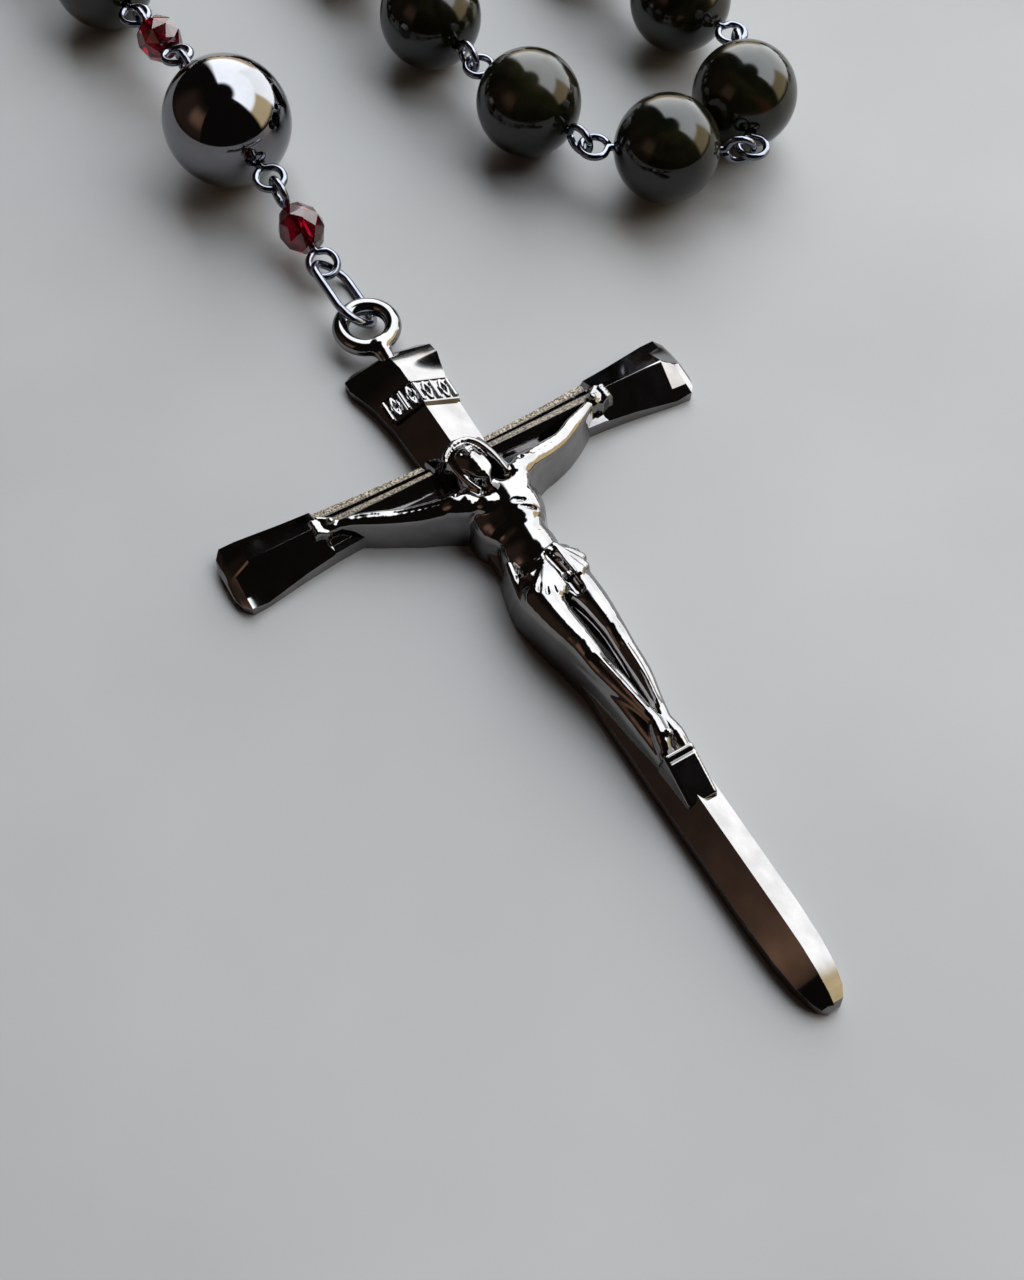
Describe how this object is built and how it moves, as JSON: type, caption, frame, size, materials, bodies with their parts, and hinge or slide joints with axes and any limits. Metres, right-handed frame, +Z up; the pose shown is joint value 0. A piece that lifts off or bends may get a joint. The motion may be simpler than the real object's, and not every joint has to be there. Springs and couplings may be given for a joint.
{
  "type": "rosary",
  "caption": "Five-decade rosary of round stone beads on linked eye pins, with a centre medal and a pendant crucifix.",
  "frame": {"origin": "on the surface that the rosary lies on, under the middle of its laid-out extent", "axes": "+Z up from the surface; +X to the right and +Y away, with the crucifix foot pointing towards -Y and +X"},
  "size_m": [0.236, 0.3154, 0.012],
  "materials": {
    "plated_crucifix": "dark nickel plate, polished",
    "plated_medal": "dark nickel plate, polished",
    "plated_wire": "dark nickel plate, polished",
    "hematite": "mirror polished hematite",
    "jasper": "polished dark jasper",
    "red_crystal": "clear deep red, faceted"
  },
  "bodies": {
    "medal": {"centre_medal": "plated_medal"},
    "pendant_garnet_4_link": {"pendant_garnet_4_pin": "plated_wire"},
    "pendant_garnet_4_bead": {"pendant_garnet_4_bead": "red_crystal"},
    "pendant_hematite_2_link": {"pendant_hematite_2_pin": "plated_wire"},
    "pendant_hematite_2_bead": {"pendant_hematite_2_bead": "hematite"},
    "pendant_garnet_3_link": {"pendant_garnet_3_pin": "plated_wire"},
    "pendant_garnet_3_bead": {"pendant_garnet_3_bead": "red_crystal"},
    "pendant_jasper_3_link": {"pendant_jasper_3_pin": "plated_wire"},
    "pendant_jasper_3_bead": {"pendant_jasper_3_bead": "jasper"},
    "pendant_jasper_2_link": {"pendant_jasper_2_pin": "plated_wire"},
    "pendant_jasper_2_bead": {"pendant_jasper_2_bead": "jasper"},
    "pendant_jasper_1_link": {"pendant_jasper_1_pin": "plated_wire"},
    "pendant_jasper_1_bead": {"pendant_jasper_1_bead": "jasper"},
    "pendant_garnet_2_link": {"pendant_garnet_2_pin": "plated_wire"},
    "pendant_garnet_2_bead": {"pendant_garnet_2_bead": "red_crystal"},
    "pendant_hematite_1_link": {"pendant_hematite_1_pin": "plated_wire"},
    "pendant_hematite_1_bead": {"pendant_hematite_1_bead": "hematite"},
    "pendant_garnet_1_link": {"pendant_garnet_1_pin": "plated_wire"},
    "pendant_garnet_1_bead": {"pendant_garnet_1_bead": "red_crystal"},
    "jump_ring": {"crucifix_jump_ring": "plated_wire"},
    "crucifix": {"crucifix": "plated_crucifix"},
    "decade_1_first": {"decade_1_first_beads": "jasper", "decade_1_first_pins": "plated_wire"},
    "decade_1_last": {"decade_1_last_beads": "jasper", "decade_1_last_pins": "plated_wire"},
    "set_1": {"set_1_pins": "plated_wire", "set_1_garnets": "red_crystal"},
    "set_1_hematite": {"set_1_hematite": "hematite"},
    "decade_2": {"decade_2_beads": "jasper", "decade_2_pins": "plated_wire"},
    "set_2": {"set_2_pins": "plated_wire", "set_2_garnets": "red_crystal"},
    "set_2_hematite": {"set_2_hematite": "hematite"},
    "decade_3": {"decade_3_beads": "jasper", "decade_3_pins": "plated_wire"},
    "set_3": {"set_3_pins": "plated_wire", "set_3_garnets": "red_crystal"},
    "set_3_hematite": {"set_3_hematite": "hematite"},
    "decade_4_first": {"decade_4_first_beads": "jasper", "decade_4_first_pins": "plated_wire"},
    "decade_4_bead_4": {"decade_4_bead_4_pin": "plated_wire"},
    "decade_4_bead_4_bead": {"decade_4_bead_4": "jasper"},
    "decade_4_bead_5": {"decade_4_bead_5_pin": "plated_wire"},
    "decade_4_bead_5_bead": {"decade_4_bead_5": "jasper"},
    "decade_4_bead_6": {"decade_4_bead_6_pin": "plated_wire"},
    "decade_4_bead_6_bead": {"decade_4_bead_6": "jasper"},
    "decade_4_bead_7": {"decade_4_bead_7_pin": "plated_wire"},
    "decade_4_bead_7_bead": {"decade_4_bead_7": "jasper"},
    "decade_4_bead_8": {"decade_4_bead_8_pin": "plated_wire"},
    "decade_4_bead_8_bead": {"decade_4_bead_8": "jasper"},
    "decade_4_last": {"decade_4_last_beads": "jasper", "decade_4_last_pins": "plated_wire"},
    "set_4": {"set_4_pins": "plated_wire", "set_4_garnets": "red_crystal"},
    "set_4_hematite": {"set_4_hematite": "hematite"},
    "decade_5_last": {"decade_5_last_beads": "jasper", "decade_5_last_pins": "plated_wire"},
    "decade_5_first": {"decade_5_first_beads": "jasper", "decade_5_first_pins": "plated_wire"}
  },
  "joints": [
    {"name": "pendant_garnet_4_link_hook", "type": "hinge", "parent": "medal", "child": "pendant_garnet_4_link", "pos_m": [-0.09243, 0.00868, 0.00336], "axis": [0.9691, 0.2468, 0], "range_deg": [-30, 30]},
    {"name": "pendant_garnet_4_bead_spin", "type": "hinge", "parent": "pendant_garnet_4_link", "child": "pendant_garnet_4_bead", "pos_m": [-0.09142, 0.00472, 0.00468], "axis": [0.2348, -0.9222, 0.3072], "continuous": true},
    {"name": "pendant_hematite_2_link_hook", "type": "hinge", "parent": "pendant_garnet_4_link", "child": "pendant_hematite_2_link", "pos_m": [-0.09007, -0.00003, 0.006], "axis": [-0.9199, -0.3921, 0], "range_deg": [-30, 30]},
    {"name": "pendant_hematite_2_bead_spin", "type": "hinge", "parent": "pendant_hematite_2_link", "child": "pendant_hematite_2_bead", "pos_m": [-0.08686, -0.00756, 0.006], "axis": [0.3921, -0.9199, 0], "continuous": true},
    {"name": "pendant_garnet_3_link_hook", "type": "hinge", "parent": "pendant_hematite_2_link", "child": "pendant_garnet_3_link", "pos_m": [-0.08365, -0.01509, 0.006], "axis": [0, 0, 1], "range_deg": [-20, 4]},
    {"name": "pendant_garnet_3_bead_spin", "type": "hinge", "parent": "pendant_garnet_3_link", "child": "pendant_garnet_3_bead", "pos_m": [-0.08111, -0.01954, 0.00545], "axis": [0.4938, -0.8631, -0.1059], "continuous": true},
    {"name": "pendant_jasper_3_link_hook", "type": "hinge", "parent": "pendant_garnet_3_link", "child": "pendant_jasper_3_link", "pos_m": [-0.07852, -0.02396, 0.005], "axis": [0.8367, 0.5477, 0], "range_deg": [-30, 30]},
    {"name": "pendant_jasper_3_bead_spin", "type": "hinge", "parent": "pendant_jasper_3_link", "child": "pendant_jasper_3_bead", "pos_m": [-0.07458, -0.02998, 0.005], "axis": [0.5477, -0.8367, 0], "continuous": true},
    {"name": "pendant_jasper_2_link_hook", "type": "hinge", "parent": "pendant_jasper_3_link", "child": "pendant_jasper_2_link", "pos_m": [-0.07064, -0.03599, 0.005], "axis": [0, 0, 1], "range_deg": [-25, 4]},
    {"name": "pendant_jasper_2_bead_spin", "type": "hinge", "parent": "pendant_jasper_2_link", "child": "pendant_jasper_2_bead", "pos_m": [-0.06602, -0.04259, 0.005], "axis": [0.5738, -0.819, 0], "continuous": true},
    {"name": "pendant_jasper_1_link_hook", "type": "hinge", "parent": "pendant_jasper_2_link", "child": "pendant_jasper_1_link", "pos_m": [-0.0614, -0.04918, 0.005], "axis": [-0.8169, -0.5768, 0], "range_deg": [-30, 30]},
    {"name": "pendant_jasper_1_bead_spin", "type": "hinge", "parent": "pendant_jasper_1_link", "child": "pendant_jasper_1_bead", "pos_m": [-0.05726, -0.05505, 0.005], "axis": [0.5768, -0.8169, 0], "continuous": true},
    {"name": "pendant_garnet_2_link_hook", "type": "hinge", "parent": "pendant_jasper_1_link", "child": "pendant_garnet_2_link", "pos_m": [-0.05263, -0.06161, 0.00517], "axis": [0.8205, 0.5717, 0], "range_deg": [-30, 30]},
    {"name": "pendant_garnet_2_bead_spin", "type": "hinge", "parent": "pendant_garnet_2_link", "child": "pendant_garnet_2_bead", "pos_m": [-0.05022, -0.06506, 0.00604], "axis": [0.56, -0.8037, 0.2013], "continuous": true},
    {"name": "pendant_hematite_1_link_hook", "type": "hinge", "parent": "pendant_garnet_2_link", "child": "pendant_hematite_1_link", "pos_m": [-0.04734, -0.06921, 0.00682], "axis": [-0.8228, -0.5684, 0], "range_deg": [-30, 30]},
    {"name": "pendant_hematite_1_bead_spin", "type": "hinge", "parent": "pendant_hematite_1_link", "child": "pendant_hematite_1_bead", "pos_m": [-0.0427, -0.07592, 0.00601], "axis": [0.5656, -0.8188, -0.0986], "continuous": true},
    {"name": "pendant_garnet_1_link_hook", "type": "hinge", "parent": "pendant_hematite_1_link", "child": "pendant_garnet_1_link", "pos_m": [-0.03807, -0.08263, 0.0052], "axis": [0, 0, 1], "range_deg": [-35, 5]},
    {"name": "pendant_garnet_1_bead_spin", "type": "hinge", "parent": "pendant_garnet_1_link", "child": "pendant_garnet_1_bead", "pos_m": [-0.03535, -0.08661, 0.0034], "axis": [0.529, -0.7733, -0.3496], "continuous": true},
    {"name": "jump_ring_hook", "type": "hinge", "parent": "pendant_garnet_1_link", "child": "jump_ring", "pos_m": [-0.03262, -0.09059, 0.0016], "axis": [0.8572, 0.515, 0], "range_deg": [-12, 12]},
    {"name": "crucifix_swing", "type": "hinge", "parent": "jump_ring", "child": "crucifix", "pos_m": [-0.02916, -0.09644, 0.0019], "axis": [0.6061, 0.3642, -0.7071], "range_deg": [-15, 15]},
    {"name": "decade_1_first_hook", "type": "hinge", "parent": "medal", "child": "decade_1_first", "pos_m": [-0.10527, 0.02739, 0.00332], "axis": [-0.9528, -0.3036, 0], "range_deg": [-30, 30]},
    {"name": "decade_1_last_hook", "type": "hinge", "parent": "decade_1_first", "child": "decade_1_last", "pos_m": [-0.10971, 0.10085, 0.00596], "axis": [0.9576, -0.2881, 0], "range_deg": [-30, 30]},
    {"name": "set_1_hook", "type": "hinge", "parent": "decade_1_last", "child": "set_1", "pos_m": [-0.06126, 0.15161, 0.00453], "axis": [-0.0583, 0.9983, 0], "range_deg": [-30, 30]},
    {"name": "set_1_hematite_spin", "type": "hinge", "parent": "set_1", "child": "set_1_hematite", "pos_m": [-0.04379, 0.15173, 0.006], "axis": [0.9992, -0.0411, 0], "continuous": true},
    {"name": "decade_2_hook", "type": "hinge", "parent": "set_1", "child": "decade_2", "pos_m": [-0.02544, 0.15012, 0.005], "axis": [-0.2279, -0.9737, 0], "range_deg": [-30, 30]},
    {"name": "set_2_hook", "type": "hinge", "parent": "decade_2", "child": "set_2", "pos_m": [0.07199, 0.04252, 0.00509], "axis": [0.3542, 0.9352, 0], "range_deg": [-30, 30]},
    {"name": "set_2_hematite_spin", "type": "hinge", "parent": "set_2", "child": "set_2_hematite", "pos_m": [0.08823, 0.03582, 0.006], "axis": [0.9136, -0.4066, 0], "continuous": true},
    {"name": "decade_3_hook", "type": "hinge", "parent": "set_2", "child": "decade_3", "pos_m": [0.10354, 0.02591, 0.005], "axis": [-0.8227, -0.5685, 0], "range_deg": [-30, 30]},
    {"name": "set_3_hook", "type": "hinge", "parent": "decade_3", "child": "set_3", "pos_m": [0.02115, -0.00004, 0.00509], "axis": [-0.4399, -0.898, 0], "range_deg": [-30, 30]},
    {"name": "set_3_hematite_spin", "type": "hinge", "parent": "set_3", "child": "set_3_hematite", "pos_m": [0.00485, 0.00105, 0.006], "axis": [-0.9562, -0.2928, 0], "continuous": true},
    {"name": "decade_4_first_hook", "type": "hinge", "parent": "set_3", "child": "decade_4_first", "pos_m": [-0.00868, -0.00983, 0.005], "axis": [-0.9535, 0.3013, 0], "range_deg": [-30, 30]},
    {"name": "decade_4_bead_4_hook", "type": "hinge", "parent": "decade_4_first", "child": "decade_4_bead_4", "pos_m": [-0.00458, -0.05274, 0.005], "axis": [0.7071, 0.7071, 0], "range_deg": [-30, 30]},
    {"name": "decade_4_bead_4_bead_spin", "type": "hinge", "parent": "decade_4_bead_4", "child": "decade_4_bead_4_bead", "pos_m": [0.00049, -0.05781, 0.005], "axis": [0.7071, -0.7071, 0], "continuous": true},
    {"name": "decade_4_bead_5_hook", "type": "hinge", "parent": "decade_4_bead_4", "child": "decade_4_bead_5", "pos_m": [0.00563, -0.06383, 0.005], "axis": [-0.9986, -0.0523, 0], "range_deg": [-30, 30]},
    {"name": "decade_4_bead_5_bead_spin", "type": "hinge", "parent": "decade_4_bead_5", "child": "decade_4_bead_5_bead", "pos_m": [0.006, -0.07094, 0.005], "axis": [0.0523, -0.9986, 0], "continuous": true},
    {"name": "decade_4_bead_6_hook", "type": "hinge", "parent": "decade_4_bead_5", "child": "decade_4_bead_6", "pos_m": [0.00512, -0.07809, 0.005], "axis": [-0.0175, -0.9998, 0], "range_deg": [-30, 30]},
    {"name": "decade_4_bead_6_bead_spin", "type": "hinge", "parent": "decade_4_bead_6", "child": "decade_4_bead_6_bead", "pos_m": [-0.00167, -0.07797, 0.005], "axis": [-0.9998, 0.0175, 0], "continuous": true},
    {"name": "decade_4_bead_7_hook", "type": "hinge", "parent": "decade_4_bead_6", "child": "decade_4_bead_7", "pos_m": [-0.00953, -0.07718, 0.005], "axis": [0.7071, 0.7071, 0], "range_deg": [-30, 30]},
    {"name": "decade_4_bead_7_bead_spin", "type": "hinge", "parent": "decade_4_bead_7", "child": "decade_4_bead_7_bead", "pos_m": [-0.01456, -0.07216, 0.005], "axis": [-0.7071, 0.7071, 0], "continuous": true},
    {"name": "decade_4_bead_8_hook", "type": "hinge", "parent": "decade_4_bead_7", "child": "decade_4_bead_8", "pos_m": [-0.02014, -0.06636, 0.005], "axis": [-0.8192, -0.5736, 0], "range_deg": [-30, 30]},
    {"name": "decade_4_bead_8_bead_spin", "type": "hinge", "parent": "decade_4_bead_8", "child": "decade_4_bead_8_bead", "pos_m": [-0.02426, -0.06048, 0.005], "axis": [-0.5736, 0.8192, 0], "continuous": true},
    {"name": "decade_4_last_hook", "type": "hinge", "parent": "decade_4_bead_8", "child": "decade_4_last", "pos_m": [-0.02879, -0.05383, 0.005], "axis": [0.8799, 0.4751, 0], "range_deg": [-30, 30]},
    {"name": "set_4_hook", "type": "hinge", "parent": "decade_4_last", "child": "set_4", "pos_m": [-0.04116, -0.02698, 0.005], "axis": [0, 0, 1], "range_deg": [-20, 20]},
    {"name": "set_4_hematite_spin", "type": "hinge", "parent": "set_4", "child": "set_4_hematite", "pos_m": [-0.04079, -0.00874, 0.006], "axis": [0.1654, 0.9862, 0], "continuous": true},
    {"name": "decade_5_last_hook", "type": "hinge", "parent": "medal", "child": "decade_5_last", "pos_m": [-0.09249, 0.03137, 0.0033], "axis": [-0.982, 0.1891, 0], "range_deg": [-30, 30]},
    {"name": "decade_5_first_hook", "type": "hinge", "parent": "decade_5_last", "child": "decade_5_first", "pos_m": [-0.04839, 0.07296, 0.00596], "axis": [-0.2137, -0.9769, 0], "range_deg": [-30, 30]}
  ]
}
